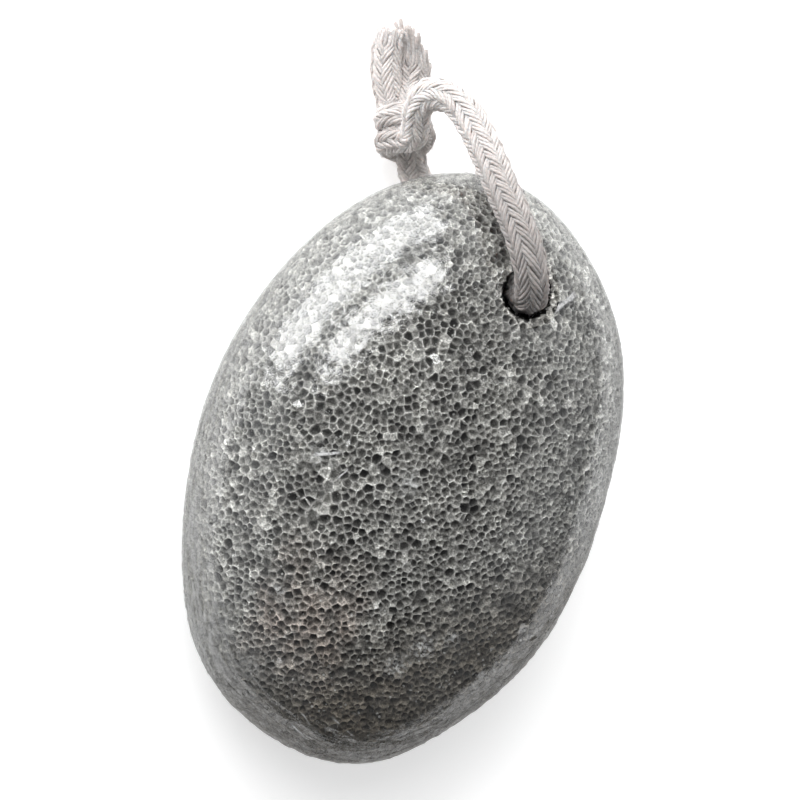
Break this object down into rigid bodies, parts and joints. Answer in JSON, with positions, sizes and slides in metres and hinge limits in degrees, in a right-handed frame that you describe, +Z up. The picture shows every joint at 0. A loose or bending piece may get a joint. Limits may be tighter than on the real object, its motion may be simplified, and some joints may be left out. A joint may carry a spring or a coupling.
{
  "type": "pumice stone",
  "caption": "Oval bath pumice of foamed grey stone in a clear shrink-film skin, drilled near one end for a knotted loop of braided cotton cord.",
  "frame": {"origin": "on the resting surface, under the middle of the stone in its film, without its cord", "axes": "+Y along the stone's long axis towards the drilled end and its cord, +X across it, +Z up through its thickness"},
  "size_m": [0.0675, 0.1185, 0.0413],
  "materials": {
    "stone": "matt open-celled foam, thin pale cell walls and dark pits",
    "film": "clear glossy shrink film with fine wrinkles",
    "cord": "off-white braided cotton, slightly pink and fluffy"
  },
  "bodies": {
    "root": {"stone": "stone", "shrink_film": "film", "cord": "cord"}
  },
  "joints": []
}
